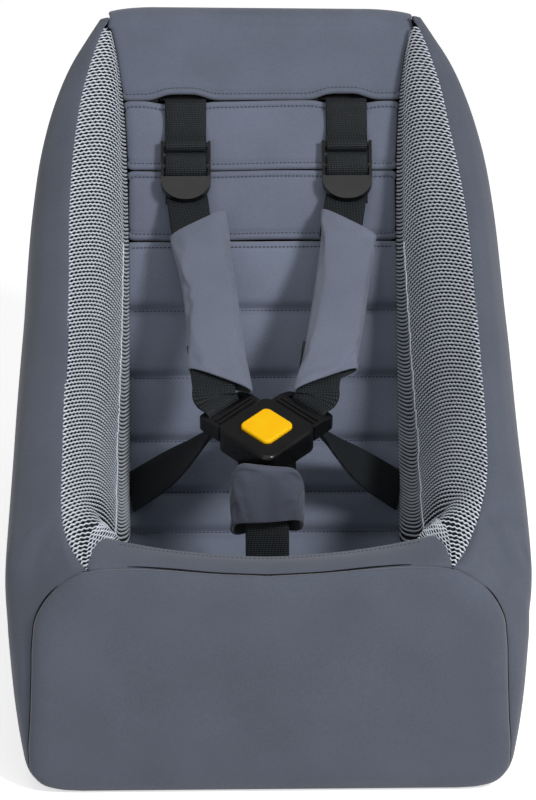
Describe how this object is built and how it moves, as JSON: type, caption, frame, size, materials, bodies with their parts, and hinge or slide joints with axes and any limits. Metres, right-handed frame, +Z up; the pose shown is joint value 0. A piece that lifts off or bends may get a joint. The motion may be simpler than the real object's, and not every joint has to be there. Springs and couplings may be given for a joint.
{
  "type": "bike trailer infant seat",
  "caption": "Padded infant seat for a bike trailer: reclined quilted back, tall mesh-lined side bolsters, cushioned front wall and a five-point harness with a push-button buckle.",
  "frame": {"origin": "centre of the bounding box's bottom face, on the floor", "axes": "+X to the right as seen from the front, +Y from the front wall to the back rest, +Z up"},
  "size_m": [0.296, 0.379, 0.3513],
  "materials": {
    "foam": "open-cell upholstery foam",
    "cover_cloth": "slate grey plain-weave polyester",
    "spacer_mesh": "grey knitted spacer mesh",
    "liner_cloth": "quilted slate grey polyester",
    "pad_cloth": "soft slate grey sleeve",
    "webbing": "black polyester webbing",
    "black_plastic": "black moulded plastic",
    "yellow_plastic": "amber yellow moulded plastic",
    "spring_steel": "bare spring wire"
  },
  "bodies": {
    "seat": {"front_foam": "foam", "seat_foam": "foam", "back_foam": "foam", "side_foam_left": "foam", "side_foam_right": "foam", "front_cover": "cover_cloth", "side_cover_left": "cover_cloth", "side_cover_right": "cover_cloth", "header_cover": "cover_cloth", "rear_cover": "cover_cloth", "bottom_cover": "cover_cloth", "inner_front_lining": "cover_cloth", "mesh_panel_left": "spacer_mesh", "mesh_panel_right": "spacer_mesh", "liner_upper_panel": "liner_cloth", "liner_middle_panel": "liner_cloth", "seat_liner": "liner_cloth", "shoulder_pad_left": "pad_cloth", "shoulder_pad_right": "pad_cloth", "crotch_pad": "pad_cloth", "shoulder_loop_left": "webbing", "shoulder_loop_right": "webbing", "harness_strap_left": "webbing", "harness_strap_right": "webbing", "crotch_strap": "webbing", "rear_belt_loop_low": "webbing", "rear_belt_loop_high": "webbing", "strap_keeper_left": "black_plastic", "strap_keeper_right": "black_plastic", "crotch_keeper": "black_plastic", "buckle_housing": "black_plastic", "buckle_base": "black_plastic", "button_spring": "spring_steel"},
    "button": {"release_button": "yellow_plastic"},
    "tongue_l": {"tongue_left": "black_plastic"},
    "tongue_r": {"tongue_right": "black_plastic"},
    "lock_l": {"ladder_lock_left": "black_plastic"},
    "lock_r": {"ladder_lock_right": "black_plastic"}
  },
  "joints": [
    {"name": "button_press", "type": "slide", "parent": "seat", "child": "button", "axis": [0, 0.2588, -0.9659], "range_m": [0, 0.0026], "stiffness_N_per_m": 900, "springref_m": -0.002, "deforming": ["button_spring"]},
    {"name": "tongue_left_eject", "type": "slide", "parent": "seat", "child": "tongue_l", "axis": [-0.7071, 0.683, 0.183], "range_m": [0, 0.0026], "deforming": ["harness_strap_left"]},
    {"name": "tongue_right_eject", "type": "slide", "parent": "seat", "child": "tongue_r", "axis": [0.7071, 0.683, 0.183], "range_m": [0, 0.0026], "deforming": ["harness_strap_right"]},
    {"name": "lock_left_lift", "type": "hinge", "parent": "seat", "child": "lock_l", "pos_m": [-0.0463, 0.10666, 0.27852], "axis": [-1, 0, 0], "range_deg": [0, 35], "deforming": ["harness_strap_left"]},
    {"name": "lock_right_lift", "type": "hinge", "parent": "seat", "child": "lock_r", "pos_m": [0.0517, 0.10666, 0.27852], "axis": [-1, 0, 0], "range_deg": [0, 35], "deforming": ["harness_strap_right"]}
  ],
  "couplings": [
    {"joint": "tongue_left_eject", "follows": "button_press", "ratio": 1},
    {"joint": "tongue_right_eject", "follows": "button_press", "ratio": 1}
  ]
}
